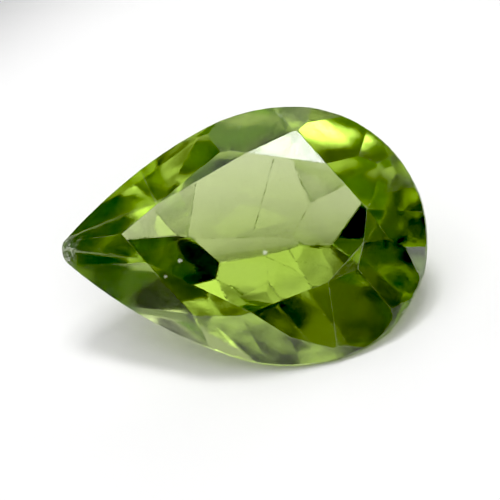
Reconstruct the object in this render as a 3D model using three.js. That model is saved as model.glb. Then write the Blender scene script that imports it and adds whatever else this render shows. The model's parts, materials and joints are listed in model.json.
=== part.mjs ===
// A loose pear cut peridot, about 7 x 5 mm. Millimetres, +Z up.
//
// The stone is one convex crystal: what is left behind all of the flats ground on it. It is
// worked out as a cutter holds it, with the table level on top, the point of the pear towards
// -X and the round end towards +X, and then laid down on one long facet of its pavilion, as a
// loose stone comes to lie. Facets are given in a cutter's terms: slope from level, facing
// from +X towards +Y, both in degrees, and how far the plane lies from the girdle's middle.

import * as THREE from 'three';

// Heights above the keel, the narrow facet under the middle of the pavilion.
const TABLE_HEIGHT = 2.64;
const GIRDLE_HEIGHT = 1.81;
const GIRDLE_THICKNESS = 0.07;

// Half of the pear outline, from the round end to the point. Four arcs run on into one another,
// and the last is the nose, blunted by wear. Each angle is the way that the wall faces where
// its arc stops; where the flank stops, the nose's centre is on the stone's middle line.
const HEAD_CENTRE_X = 0.7;
const HEAD = { radius: 2.465, stop: 83, steps: 17 };
const SHOULDER = { radius: 3.62, stop: 112.5, steps: 6 };
const FLANK = { radius: 9.06, stop: 135.2, steps: 11 };
const NOSE = { radius: 0.3, stop: 180, steps: 3 };
// The stone is a little lopsided: its widest line leans this much from square.
const OUTLINE_LEAN = -0.073;

// The corners of the table, clockwise from the one towards the point.
const TABLE_CORNERS = [
  [-2.51, 0.13],
  [-1.81, 0.64],
  [-0.03, 1.49],
  [1.48, 1.16],
  [2.23, 0.24],
  [2.14, -0.39],
  [1.44, -1.09],
  [-0.06, -1.55],
  [-2.05, -0.45],
];
// Slopes round the crown, side by side of the table from the far point side on. The stone was
// cut by hand, so no two sides are quite alike, and they are steepest beside the point.
const STAR_SLOPES = [24, 23, 33, 32, 15, 30, 23];
const UPPER_GIRDLE_SLOPES = [
  [48, 41],
  [44, 45],
  [42, 42],
  [41, 43],
  [43, 48],
  [41, 42],
  [46, 52],
];
// Where the two upper girdle facets face, as parts of the turn from one bezel to the next.
const UPPER_GIRDLE_PLACES = [0.27, 0.73];

// The long facets of the pavilion, by hand and not quite alike on the two sides.
const PAVILION_FACETS = {
  farPointMain: { slope: 45, facing: 117.4, distance: 1.945 },
  farFlankMain: { slope: 36.4, facing: 87.6, distance: 1.55 },
  farMiddleMain: { slope: 35.8, facing: 84.2, distance: 1.547 },
  farShoulderBreak: { slope: 39.2, facing: 71.6, distance: 1.628 },
  farShoulderMain: { slope: 31.8, facing: 57, distance: 1.695 },
  headMain: { slope: 39.3, facing: 2.8, distance: 2.03 },
  nearHeadMain: { slope: 34, facing: -71, distance: 1.63 },
  nearShoulderMain: { slope: 34.7, facing: -72.5, distance: 1.61 },
  nearMiddleMain: { slope: 36, facing: -81, distance: 1.564 },
  nearMiddleBreak: { slope: 36.7, facing: -83.7, distance: 1.565 },
  nearFlankMain: { slope: 36, facing: -84.2, distance: 1.568 },
  nearPointMain: { slope: 49.3, facing: -116.6, distance: 1.791 },
};

// The facet that the stone lies on: its middle of mass is above this one.
const LIES_ON = PAVILION_FACETS.nearMiddleMain;

// Short steep facets that grind the pavilion in to the girdle. The stand-off is how far out
// each lies from just touching the girdle's lower edge.
const LOWER_GIRDLE_FACETS = [
  { slope: 52, facing: 30, standOff: 0 },
  { slope: 65, facing: 104, standOff: 0 },
  { slope: 61, facing: 121, standOff: 0 },
  { slope: 45, facing: 136, standOff: 0.17 },
  { slope: 42, facing: -135, standOff: 0.04 },
  { slope: 55, facing: -94, standOff: 0.1 },
  { slope: 52, facing: -33, standOff: 0 },
];

// Corners closer than this are one corner, and a corner this near to a plane is on it.
const TOLERANCE = 1e-6;

const radians = THREE.MathUtils.degToRad;

// The level direction that faces the given way.
function level(facing) {
  return new THREE.Vector3(Math.cos(radians(facing)), Math.sin(radians(facing)), 0);
}

// The plane of the given facing and slope through a point. A slope of 0 looks up, 90 looks
// sideways and more than 90 looks down.
function facet(slope, facing, point) {
  const normal = level(facing).multiplyScalar(Math.sin(radians(slope)));
  normal.z = Math.cos(radians(slope));
  return new THREE.Plane().setFromNormalAndCoplanarPoint(normal, point);
}

// Points along the far half of the outline: each arc's centre lies on the last radius of the
// arc before it, so that the curve has no kink.
function farHalf() {
  const centre = new THREE.Vector3(HEAD_CENTRE_X, 0, 0);
  const points = [];
  let start = 0;
  let radius = HEAD.radius;
  for (const arc of [HEAD, SHOULDER, FLANK, NOSE]) {
    centre.addScaledVector(level(start), radius - arc.radius);
    for (let i = 0; i < arc.steps; i += 1) {
      const facing = start + ((arc.stop - start) * i) / arc.steps;
      points.push(level(facing).multiplyScalar(arc.radius).add(centre));
    }
    start = arc.stop;
    radius = arc.radius;
  }
  points.push(level(start).multiplyScalar(radius).add(centre));
  return points;
}

// The whole outline, anticlockwise from the round end, with its lean.
function pearOutline() {
  const far = farHalf();
  const near = far.slice(1, -1).reverse().map((p) => new THREE.Vector3(p.x, -p.y, 0));
  for (const p of [...far, ...near]) p.x += OUTLINE_LEAN * p.y;
  return [...far, ...near];
}

const outline = pearOutline();

// How far the outline reaches in the given direction.
function reach(facing) {
  const direction = level(facing);
  return Math.max(...outline.map((p) => p.dot(direction)));
}

// One upright wall for each stretch of the outline.
function girdleWalls() {
  return outline.map((p, i) => {
    const along = outline[(i + 1) % outline.length].clone().sub(p);
    const normal = new THREE.Vector3(along.y, -along.x, 0).normalize();
    return new THREE.Plane().setFromNormalAndCoplanarPoint(normal, p);
  });
}

// Pavilion planes look down, so their slope is turned over.
function pavilion() {
  const middle = new THREE.Vector3(0, 0, GIRDLE_HEIGHT);
  const lowerEdge = GIRDLE_HEIGHT - GIRDLE_THICKNESS / 2;
  const long = Object.values(PAVILION_FACETS).map(({ slope, facing, distance }) => {
    const plane = facet(180 - slope, facing, middle);
    plane.constant -= distance;
    return plane;
  });
  const short = LOWER_GIRDLE_FACETS.map(({ slope, facing, standOff }) => {
    const touch = level(facing).multiplyScalar(reach(facing));
    touch.z = lowerEdge;
    const plane = facet(180 - slope, facing, touch);
    plane.constant -= standOff;
    return plane;
  });
  const keel = new THREE.Plane(new THREE.Vector3(0, 0, -1), 0);
  return [keel, ...long, ...short];
}

// The slope of a plane that passes through a table corner and touches the girdle's top edge.
function slopeToGirdle(corner, facing) {
  const run = reach(facing) - corner.dot(level(facing));
  const drop = TABLE_HEIGHT - GIRDLE_HEIGHT - GIRDLE_THICKNESS / 2;
  return THREE.MathUtils.radToDeg(Math.atan2(drop, run));
}

// The crown: a star on each side of the table, a bezel at each corner, and two upper girdle
// facets between neighbouring bezels. The two sides beside the point have long facets that
// reach the girdle and meet in a ridge, in place of stars and a bezel.
function crown() {
  const corners = TABLE_CORNERS.map(([x, y]) => new THREE.Vector3(x, y, TABLE_HEIGHT));
  const last = corners.length - 1;
  const sides = corners.map((corner, i) => {
    const along = corners[(i + 1) % corners.length].clone().sub(corner);
    return THREE.MathUtils.radToDeg(Math.atan2(along.x, -along.y));
  });
  const top = new THREE.Plane(new THREE.Vector3(0, 0, 1), -TABLE_HEIGHT);
  const stars = sides.map((facing, i) => {
    const besidePoint = i === 0 || i === last;
    const slope = besidePoint ? slopeToGirdle(corners[i], facing) : STAR_SLOPES[i - 1];
    return facet(slope, facing, corners[i]);
  });
  const turn = (from, to) => THREE.MathUtils.euclideanModulo(to - from + 180, 360) - 180;
  const bezelFacings = sides.slice(1).map((facing, i) => sides[i] + turn(sides[i], facing) / 2);
  const bezels = bezelFacings.map((facing, i) => {
    const corner = corners[i + 1];
    return facet(slopeToGirdle(corner, facing), facing, corner);
  });
  const upperEdge = GIRDLE_HEIGHT + GIRDLE_THICKNESS / 2;
  const upperGirdle = UPPER_GIRDLE_SLOPES.flatMap((pair, i) => pair.map((slope, j) => {
    const round = turn(bezelFacings[i], bezelFacings[i + 1]) * UPPER_GIRDLE_PLACES[j];
    const facing = bezelFacings[i] + round;
    const touch = level(facing).multiplyScalar(reach(facing));
    touch.z = upperEdge;
    return facet(slope, facing, touch);
  }));
  return [top, ...stars, ...bezels, ...upperGirdle];
}

// The point that three planes share, or null where they have none.
function meeting(a, b, c) {
  const bc = new THREE.Vector3().crossVectors(b.normal, c.normal);
  const spread = a.normal.dot(bc);
  if (Math.abs(spread) < TOLERANCE) return null;
  const ca = new THREE.Vector3().crossVectors(c.normal, a.normal);
  const ab = new THREE.Vector3().crossVectors(a.normal, b.normal);
  const point = bc.multiplyScalar(-a.constant);
  point.addScaledVector(ca, -b.constant);
  point.addScaledVector(ab, -c.constant);
  return point.divideScalar(spread);
}

// Every corner of the stone: a point that three planes share and that no plane cuts away.
function cornersBehind(planes) {
  const corners = [];
  for (let i = 0; i < planes.length; i += 1) {
    for (let j = i + 1; j < planes.length; j += 1) {
      for (let k = j + 1; k < planes.length; k += 1) {
        const point = meeting(planes[i], planes[j], planes[k]);
        const kept = point && planes.every((plane) => plane.distanceToPoint(point) < TOLERANCE);
        if (kept && corners.every((corner) => corner.distanceTo(point) > TOLERANCE)) {
          corners.push(point);
        }
      }
    }
  }
  return corners;
}

// The triangles of one facet: its corners in order round their middle, anticlockwise from
// outside, fanned from the first.
function facetTriangles(plane, corners) {
  const on = corners.map((_, i) => i);
  const mine = on.filter((i) => Math.abs(plane.distanceToPoint(corners[i])) < TOLERANCE);
  if (mine.length < 3) return [];
  const middle = new THREE.Vector3();
  for (const i of mine) middle.addScaledVector(corners[i], 1 / mine.length);
  const right = corners[mine[0]].clone().sub(middle).normalize();
  const up = new THREE.Vector3().crossVectors(plane.normal, right);
  const angle = (i) => {
    const arm = corners[i].clone().sub(middle);
    return Math.atan2(arm.dot(up), arm.dot(right));
  };
  mine.sort((p, q) => angle(p) - angle(q));
  return mine.slice(2).flatMap((corner, i) => [mine[0], mine[i + 1], corner]);
}

// The turn that brings a pavilion facet down to level and keeps the length of the pear over X.
function layDown({ slope, facing }) {
  const up = facet(180 - slope, facing, new THREE.Vector3()).normal.negate();
  const along = new THREE.Vector3(1, 0, 0).projectOnPlane(up).normalize();
  const across = new THREE.Vector3().crossVectors(up, along);
  return new THREE.Matrix4().makeBasis(along, across, up).transpose();
}

// The stone as one closed body, lying on its facet, with the middle of its box over the origin.
function stoneGeometry() {
  const planes = [...girdleWalls(), ...pavilion(), ...crown()];
  const corners = cornersBehind(planes);
  const geometry = new THREE.BufferGeometry().setFromPoints(corners);
  geometry.setIndex(planes.flatMap((plane) => facetTriangles(plane, corners)));
  geometry.applyMatrix4(layDown(LIES_ON));
  geometry.computeBoundingBox();
  const middle = geometry.boundingBox.getCenter(new THREE.Vector3());
  geometry.translate(-middle.x, -middle.y, -geometry.boundingBox.min.z);
  geometry.computeVertexNormals();
  return geometry;
}

const peridot = new THREE.MeshStandardMaterial({
  color: 0x86a83c,
  roughness: 0.05,
  metalness: 0,
  flatShading: true,
});

const stone = new THREE.Mesh(stoneGeometry(), peridot);
stone.name = 'pear_cut_peridot';

const group = new THREE.Group();
group.add(stone);

export default group;
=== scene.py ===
import json

import bmesh
import bpy
import numpy as np
from mathutils import Matrix, Vector


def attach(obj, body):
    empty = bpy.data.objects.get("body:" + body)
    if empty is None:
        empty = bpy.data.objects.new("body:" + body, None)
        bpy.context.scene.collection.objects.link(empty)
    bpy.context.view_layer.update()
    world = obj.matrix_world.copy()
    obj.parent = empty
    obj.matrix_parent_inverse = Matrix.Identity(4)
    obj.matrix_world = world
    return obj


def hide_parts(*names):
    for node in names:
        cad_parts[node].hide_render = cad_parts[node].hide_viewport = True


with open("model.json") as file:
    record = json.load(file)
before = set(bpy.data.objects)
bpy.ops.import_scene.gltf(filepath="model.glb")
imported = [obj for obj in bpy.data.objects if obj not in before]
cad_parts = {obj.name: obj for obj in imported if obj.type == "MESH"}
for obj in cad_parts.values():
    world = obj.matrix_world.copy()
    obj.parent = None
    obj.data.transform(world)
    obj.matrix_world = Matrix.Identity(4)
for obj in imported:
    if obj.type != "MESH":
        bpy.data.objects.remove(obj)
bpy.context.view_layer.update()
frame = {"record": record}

# THE CUT STONE
# One crystal of peridot, ground and polished to flat facets. Handling has worn its edges to
# narrow rough flats, most of all along the bottom and round the blunt point, and the girdle was
# left as ground, so these are duller than the facets.
MM = 0.001
NODE = "pear_cut_peridot"
TABLE_AXIS = Vector(next(
    mount["axis"] for mount in frame["record"]["mounts"] if mount["name"] == "table"))
# Corners this close are one corner, and a corner this close to a facet's plane lies in it.
SAME_CORNER = 1e-6 * MM
FLATNESS = 0.0015 * MM
# A facet's lean is the cosine of the angle between its normal and the table's. The girdle's leans
# are nearer to 0 than the first of these, and only the table's is above the second.
GIRDLE_LEAN = 0.1
TABLE_LEAN = 0.99
# Edges that turn by fewer radians than this, or are shorter than this, stay sharp.
FLATTEST_EDGE = 0.008
SHORTEST_EDGE = 0.06 * MM
WORN_WIDTH = {"crown": 0.006 * MM, "girdle": 0.012 * MM, "pavilion": 0.026 * MM}
WIDTH_SPREAD = (0.5, 1.5)
WIDTH_SEED = 4
# How much of a worn flat is crushed.
CRUSHING = {"crown": 0.3, "girdle": 0.7, "pavilion": 1.0}


def facets_of(mesh):
    """The node's loose triangles as one closed skin, with the triangles of each facet joined.
    Going from the largest triangle to the smallest, each joins the first plane that all its
    corners lie in, or else starts a plane of its own."""
    bm = bmesh.new()
    bm.from_mesh(mesh)
    bmesh.ops.remove_doubles(bm, verts=bm.verts, dist=SAME_CORNER)
    planes = []
    plane_of = {}
    for face in sorted(bm.faces, key=lambda face: -face.calc_area()):
        fitting = [i for i, (point, normal) in enumerate(planes)
                   if all(abs((v.co - point).dot(normal)) < FLATNESS for v in face.verts)]
        if not fitting:
            fitting = [len(planes)]
            planes.append((face.verts[0].co.copy(), face.normal.copy()))
        plane_of[face] = fitting[0]
    inner = [e for e in bm.edges if plane_of[e.link_faces[0]] == plane_of[e.link_faces[1]]]
    bmesh.ops.dissolve_edges(bm, edges=inner)
    bm.normal_update()
    return bm


def side_of(normal):
    """Crown, girdle or pavilion, by how far the facet leans towards the table."""
    lean = normal.dot(TABLE_AXIS)
    if abs(lean) < GIRDLE_LEAN:
        return "girdle"
    return "crown" if lean > 0 else "pavilion"


def worn_flats(bm):
    """One plane for every worn edge, square to the mean of its two facets' normals. It lies under
    the edge by half of the flat's width times the tangent of half the turn between the facets.
    The widths vary about those given, and each flat has its side's share of crushing."""
    chance = np.random.default_rng(WIDTH_SEED)
    flats = []
    for edge in bm.edges:
        one, other = (face.normal for face in edge.link_faces)
        turn = one.angle(other)
        sides = {side_of(one), side_of(other)}
        if turn < FLATTEST_EDGE or edge.calc_length() < SHORTEST_EDGE or sides == {"girdle"}:
            continue
        across = (one + other).normalized()
        side = sides.pop() if len(sides) == 1 else "girdle"
        wide = WORN_WIDTH[side] * chance.uniform(*WIDTH_SPREAD)
        depth = wide * np.tan(turn / 2) / 2
        middle = (edge.verts[0].co + edge.verts[1].co) / 2
        flats.append((middle - across * depth, across, CRUSHING[side]))
    return flats


def cut_flats(bm, flats, mark):
    """Takes off what is outside each plane, closes the cut and marks the new face with how
    crushed it is."""
    for point, across, crushing in flats:
        parts = [*bm.verts, *bm.edges, *bm.faces]
        cut = bmesh.ops.bisect_plane(
            bm, geom=parts, dist=SAME_CORNER, plane_co=point, plane_no=across, clear_outer=True)
        rim = [e for e in cut["geom_cut"] if isinstance(e, bmesh.types.BMEdge)]
        if len(rim) > 2:
            for face in bmesh.ops.contextual_create(bm, geom=rim)["faces"]:
                face[mark] = crushing
    bm.normal_update()


bm = facets_of(bpy.data.objects[NODE].data)
worn_mark = bm.faces.layers.float.new("worn")
ground_mark = bm.faces.layers.float.new("ground")
sloping_mark = bm.faces.layers.float.new("sloping")
for face in bm.faces:
    face[sloping_mark] = float(GIRDLE_LEAN < face.normal.dot(TABLE_AXIS) < TABLE_LEAN)
    face[ground_mark] = float(side_of(face.normal) == "girdle")
cut_flats(bm, worn_flats(bm), worn_mark)
skin = bpy.data.meshes.new("cut_stone")
bm.to_mesh(skin)
bm.free()
stone = bpy.data.objects.new("cut_stone", skin)
bpy.context.collection.objects.link(stone)


def feed(value, socket):
    """Gives the socket a value, or the link from another node's output."""
    if isinstance(value, bpy.types.NodeSocket):
        socket.id_data.links.new(value, socket)
    else:
        socket.default_value = value


def add(tree, kind, **settings):
    """Adds a node to the tree. Each setting is one of the node's properties, or a socket of it
    with the spaces in its name written as underscores."""
    node = tree.nodes.new("ShaderNode" + kind)
    for name, value in settings.items():
        if hasattr(node, name):
            setattr(node, name, value)
        else:
            feed(value, node.inputs[name.replace("_", " ")])
    return node


def band(value, low, high, to_low=0.0, to_high=1.0, ease="LINEAR"):
    """A node's number carried from the span low..high onto to_low..to_high, and held at both
    ends."""
    return add(value.id_data, "MapRange", interpolation_type=ease, Value=value, From_Min=low,
               From_Max=high, To_Min=to_low, To_Max=to_high).outputs["Result"]


def work_out(operation, one, other):
    """A node's number and another number, which may be a node's too, made into one."""
    node = add(one.id_data, "Math", operation=operation)
    feed(one, node.inputs[0])
    feed(other, node.inputs[1])
    return node.outputs["Value"]


def times(one, other):
    """The product of two numbers, of which the first is a node's."""
    return work_out("MULTIPLY", one, other)


def largest(value, *others):
    """The largest of several nodes' numbers."""
    for other in others:
        value = work_out("MAXIMUM", value, other)
    return value


REFRACTIVE_INDEX = 1.67
peridot = bpy.data.materials.new("worn polished peridot")
peridot.use_nodes = True
gem = peridot.node_tree
gloss = gem.nodes["Principled BSDF"]
gloss.inputs["IOR"].default_value = REFRACTIVE_INDEX
place = add(gem, "TexCoord").outputs["Object"]


def mottle(per_mm, detail, roughness=0.5):
    """A cloudy pattern with so many clouds to a millimetre. Most of it lies between 0.3 and 0.7,
    so the span that a band takes out of it says how much of the surface it covers."""
    return add(gem, "TexNoise", Vector=place, Scale=per_mm / MM, Detail=detail,
               Roughness=roughness).outputs["Fac"]


def within(middle, inner, outer):
    """1 up to the inner radius round a place in the stone, and falling evenly to 0 at the outer
    radius. All are in millimetres."""
    off_middle = add(gem, "VectorMath", operation="DISTANCE", Vector=place)
    off_middle.inputs[1].default_value = [c * MM for c in middle]
    return band(off_middle.outputs["Value"], inner * MM, outer * MM, 1.0, 0.0)


# Wear along the edges comes in chips a few hundredths of a millimetre long, in some stretches
# and not in others. The girdle has the finer grain of the grinding wheel.
CHIPS_PER_MM = 22
KNOCKS_PER_MM = 5
GRAINS_PER_MM = 60
CHIP_ROUGHNESS = 0.8
GROUND_ROUGHNESS = (0.3, 0.55)
worn = add(gem, "Attribute", attribute_name="worn").outputs["Fac"]
ground = add(gem, "Attribute", attribute_name="ground").outputs["Fac"]
chips = mottle(CHIPS_PER_MM, 4.0, 0.7)
knocks = mottle(KNOCKS_PER_MM, 2.0)
grain = mottle(GRAINS_PER_MM, 2.0)
chipped = times(worn, times(band(knocks, 0.42, 0.6), band(chips, 0.44, 0.54)))
bruised = times(chipped, CHIP_ROUGHNESS)
ground_rough = times(ground, band(grain, 0.3, 0.7, *GROUND_ROUGHNESS))

# The blunt point is abraded over a third of a millimetre.
POINT = (-3.50, -0.01, 1.92)
POINT_WEAR = (0.2, 0.42)
POINT_ROUGHNESS = 0.7
POINT_POWDER = 0.6
near_point = within(POINT, *POINT_WEAR)
abraded = times(near_point, band(chips, 0.4, 0.6, 0.0, POINT_ROUGHNESS))
point_powder = times(near_point, band(chips, 0.5, 0.6, 0.0, POINT_POWDER))

# Small pits are scattered over the facets, one to each cell of a pattern. Each cell draws its
# pit's radius, as a share of the cell, and most draw none.
PITS_PER_MM = 2.6
LARGEST_PIT = 0.09
PIT_RIM = 0.02
PIT_ROUGHNESS = 0.5
PIT_POWDER = 0.8
pits = add(gem, "TexVoronoi", Vector=place, Scale=PITS_PER_MM / MM, Randomness=1.0)
pit_size = band(pits.outputs["Color"], 0.7, 1.0, 0.0, LARGEST_PIT)
pit_depth = work_out("SUBTRACT", pit_size, pits.outputs["Distance"])
pitted = band(pit_depth, 0.0, PIT_RIM, 0.0, PIT_ROUGHNESS)
pit_powder = times(pitted, PIT_POWDER / PIT_ROUGHNESS)

# Single marks are where the photo has them: pits and a scratch in the table, specks with powder
# in them, and a nick in the girdle. Each has its middle and its radius in millimetres, and its
# share of powder. A mark is whole over the middle fifth of its radius and fades to its rim.
MARKS = {
    "pit": ((-0.64, -0.10, 2.62), 0.035, 0.0),
    "pit below it": ((-0.65, -0.21, 2.54), 0.03, 0.0),
    "middle pit": ((-0.10, -0.57, 2.23), 0.03, 0.0),
    "left speck": ((-0.99, -0.88, 2.09), 0.055, 0.8),
    "low speck": ((-1.31, -1.11, 1.95), 0.06, 0.8),
    "bright bruise": ((0.64, -0.85, 1.96), 0.06, 0.5),
    "top of the scratch": ((1.07, 0.14, 2.64), 0.03, 0.0),
    "foot of the scratch": ((1.04, 0.08, 2.60), 0.03, 0.0),
    "girdle nick": ((1.74, 1.87, 2.86), 0.07, 0.1),
}
MARK_MIDDLE = 0.2
MARK_ROUGHNESS = 0.6
marked = ground_rough
powdered = chipped
for middle, radius, powder in MARKS.values():
    mark = times(within(middle, MARK_MIDDLE * radius, radius), band(chips, 0.4, 0.5))
    marked = largest(marked, times(mark, MARK_ROUGHNESS))
    powdered = largest(powdered, times(mark, powder))

# The sloping facets of the crown are a little hazy, unevenly, and less bright than the table.
HAZE_ROUGHNESS = (0.07, 0.14)
sloping = add(gem, "Attribute", attribute_name="sloping").outputs["Fac"]
hazy = times(sloping, band(knocks, 0.35, 0.65, *HAZE_ROUGHNESS))
rough = largest(bruised, hazy, marked, abraded, pitted)
feed(rough, gloss.inputs["Roughness"])

# Where the crystal is crushed, it is white powder and no longer clear.
crushed = largest(powdered, point_powder, pit_powder)
feed(band(crushed, 0.0, 1.0, 1.0, 0.0), gloss.inputs["Transmission Weight"])

# The lap left the facets a little domed and with faint parallel lines, much longer than they are
# wide and turned by so many radians about X, Y and Z, and the chips have a rough floor.
SWELLS_PER_MM = 0.9
SWELL_HEIGHT = 0.018 * MM
LINES_PER_MM = 30
LINE_ENDS_PER_MM = 0.8
LINES_TURN = (0.4, 0.9, 0.5)
LINE_DEPTH = 0.0002 * MM
CHIP_DEPTH = 0.02 * MM
domed = add(gem, "Bump", Height=mottle(SWELLS_PER_MM, 1.0), Strength=1.0, Distance=SWELL_HEIGHT)
along_lines = add(
    gem, "Mapping", Vector=place, Rotation=LINES_TURN,
    Scale=(LINES_PER_MM / MM, LINES_PER_MM / MM, LINE_ENDS_PER_MM / MM)).outputs["Vector"]
lines = add(gem, "TexNoise", Vector=along_lines, Scale=1.0, Detail=3.0).outputs["Fac"]
polish = add(gem, "Bump", Height=lines, Strength=1.0, Distance=LINE_DEPTH,
             Normal=domed.outputs["Normal"])
breaks = add(gem, "Bump", Height=chips, Strength=rough, Distance=CHIP_DEPTH,
             Normal=polish.outputs["Normal"])
feed(breaks.outputs["Normal"], gloss.inputs["Normal"])

# The crystal's skin has no colour of its own, and the powder in its rough places greys it.
CLEAR = (1, 1, 1, 1)
POWDER = (0.84, 0.88, 0.76, 1)
skin_colour = add(gem, "MixRGB", Fac=rough, Color1=CLEAR, Color2=POWDER)
feed(skin_colour.outputs["Color"], gloss.inputs["Base Color"])

# The colour is all in the depth of the crystal. Along a path, red, green and blue each fade as e
# to the minus of the path's length times the density times what the colour lacks of 1.
DEPTH_COLOUR = (0.712, 0.806, 0.324, 1)
DEPTH_DENSITY = 680.0
depths = add(gem, "VolumeAbsorption", Color=DEPTH_COLOUR, Density=DEPTH_DENSITY)
feed(depths.outputs["Volume"], gem.nodes["Material Output"].inputs["Volume"])
skin.materials.append(peridot)
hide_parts(NODE)
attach(stone, "root")

# THE FLOOR
# A sheet of pale paper that fills every view, a hair below the stone. Its colour gets darker past
# the edge of the main view, which is painted shade standing in for light falling off outside a
# pool of light, because the real stone's near facets are darker than pale paper all round would
# make them.
SUNK = -0.01 * MM
FLOOR_REACH = 2.0
PALE_TO = 9 * MM
DARK_FROM = 15 * MM
PALE = 0.9
DARK = 0.22
floor_mesh = bpy.data.meshes.new("floor")
floor_mesh.from_pydata(
    [(x * FLOOR_REACH, y * FLOOR_REACH, SUNK) for x, y in ((-1, -1), (1, -1), (1, 1), (-1, 1))],
    [], [(0, 1, 2, 3)])
floor = bpy.data.objects.new("floor", floor_mesh)
bpy.context.collection.objects.link(floor)
paper = bpy.data.materials.new("pale paper")
paper.use_nodes = True
sheet = paper.node_tree.nodes["Principled BSDF"]
on_sheet = add(paper.node_tree, "TexCoord").outputs["Object"]
out_from_middle = add(paper.node_tree, "VectorMath", operation="LENGTH", Vector=on_sheet)
# Painted shade: the paper's colour falls from pale to dark away from the stone, in place of light
# falling off.
shade = band(out_from_middle.outputs["Value"], PALE_TO, DARK_FROM, PALE, DARK, "SMOOTHSTEP")
feed(shade, sheet.inputs["Base Color"])
sheet.inputs["Roughness"].default_value = 0.9
sheet.inputs["Specular IOR Level"].default_value = 0.0
floor_mesh.materials.append(paper)

# THE LIGHT
# A dim room, all round the stone, with soft-edged pale places in it and no lamp. Two small bright
# soft boxes, high up behind, are what the crown throws back as white and yellow flashes. The
# weaker places give the facets their different greens.
room = bpy.data.worlds.new("room")
bpy.context.scene.world = room
room.use_nodes = True
background = room.node_tree.nodes["Background"]
toward = add(room.node_tree, "TexCoord").outputs["Generated"]
DIM = 0.03
# Each pale place: elevation, azimuth from +X towards +Y, half width of its even middle and out
# to its rim, all in degrees, and brightness. Right is +X, and behind is +Y.
PALE_PLACES = {
    "overhead": (80, 150, 16, 32, 1.4),
    "high in front, to the right": (60, -40, 10, 22, 2.0),
    "low on the left": (14, 165, 10, 22, 2.6),
    "low behind": (10, 93, 8, 20, 2.2),
    "low behind, to the right": (20, 42, 8, 16, 2.0),
    "low in front, to the right": (20, -53, 6, 14, 2.0),
    "high behind": (52, 115, 6, 14, 2.6),
    "high on the left": (50, -155, 10, 22, 0.2),
    "halfway up in front, to the right": (37, -57, 4, 12, 1.5),
    "halfway up on the right": (29, -36, 8, 16, 0.4),
    "halfway up behind, to the right": (22, 72, 6, 14, 0.6),
    "halfway up behind, to the left": (30, 108, 6, 14, 0.6),
    "halfway up in front, to the left": (34, -112, 3, 9, 1.2),
    "high in front, to the left": (46, -121, 4, 10, 0.35),
    "high in front": (55, -93, 4, 9, 0.8),
    "level with the stone, on the right": (3, -10, 6, 12, 4.0),
    "left soft box": (72, 77, 2, 9, 19.0),
    "right soft box": (70, 33, 2, 9, 15.0),
}


def pale_place(before, elevation, azimuth, inner, outer, brightness):
    """Adds to the brightness so far that of one place. It is full up to the inner half width and
    falls smoothly to nothing at the outer one, by the cosine of the angle from the middle."""
    el, az = np.radians(elevation), np.radians(azimuth)
    nearness = add(room.node_tree, "VectorMath", operation="DOT_PRODUCT", Vector=toward)
    nearness.inputs[1].default_value = (
        np.cos(el) * np.cos(az), np.cos(el) * np.sin(az), np.sin(el))
    rim, full = np.cos(np.radians(outer)), np.cos(np.radians(inner))
    here = band(nearness.outputs["Value"], rim, full, 0.0, brightness, "SMOOTHSTEP")
    return work_out("ADD", here, before)


brightness = DIM
for facts in PALE_PLACES.values():
    brightness = pale_place(brightness, *facts)
feed(brightness, background.inputs["Strength"])
background.inputs["Color"].default_value = (1, 1, 1, 1)

# THE CAMERA
# A long lens at the photo's angle: about 40 degrees above the floor, from the near right, and
# turned about its own line of sight so that the pear lies across the picture as in the photo.
ELEVATION = 40.36
AZIMUTH = -67.59
ROLL = -23.40
LOOKS_AT = Vector((0.113, -0.198, 1.475)) * MM
DISTANCE = 0.15
VIEW_WIDTH = 9.4 * MM
SENSOR_WIDTH = 36
lens = bpy.data.cameras.new("camera")
lens.sensor_width = SENSOR_WIDTH
lens.lens = SENSOR_WIDTH * DISTANCE / VIEW_WIDTH
lens.clip_start = 0.005
lens.clip_end = 20
camera = bpy.data.objects.new("camera", lens)
# From straight down, with its top towards +Y, the camera is rolled, tipped up and swung round.
turn = Matrix.Identity(4)
for angle, axis in ((90 + AZIMUTH, "Z"), (90 - ELEVATION, "X"), (ROLL, "Z")):
    turn @= Matrix.Rotation(np.radians(angle), 4, axis)
camera.matrix_world = (
    Matrix.Translation(LOOKS_AT) @ turn @ Matrix.Translation((0, 0, DISTANCE)))
bpy.context.collection.objects.link(camera)
scene = bpy.context.scene
scene.camera = camera
# The photo's darkest greens are nearly black, so the faintest greys are taken as black.
BLACK_LEVEL = 0.026
scene.view_settings.view_transform = "Standard"
scene.view_settings.use_curve_mapping = True
tones = scene.view_settings.curve_mapping
tones.black_level = (BLACK_LEVEL, BLACK_LEVEL, BLACK_LEVEL)
tones.update()
# Light is thrown back and forth many times inside the stone before it leaves. The clamp keeps
# single bright paths from speckling the picture.
MOST_BOUNCES = 32
CLAMP = 25
scene.cycles.max_bounces = MOST_BOUNCES
scene.cycles.transmission_bounces = MOST_BOUNCES
scene.cycles.glossy_bounces = MOST_BOUNCES // 2
scene.cycles.caustics_refractive = True
scene.cycles.caustics_reflective = True
scene.cycles.sample_clamp_indirect = CLAMP
scene.cycles.use_denoising = True
scene.cycles.denoiser = "OPENIMAGEDENOISE"
scene.cycles.denoising_input_passes = "RGB"
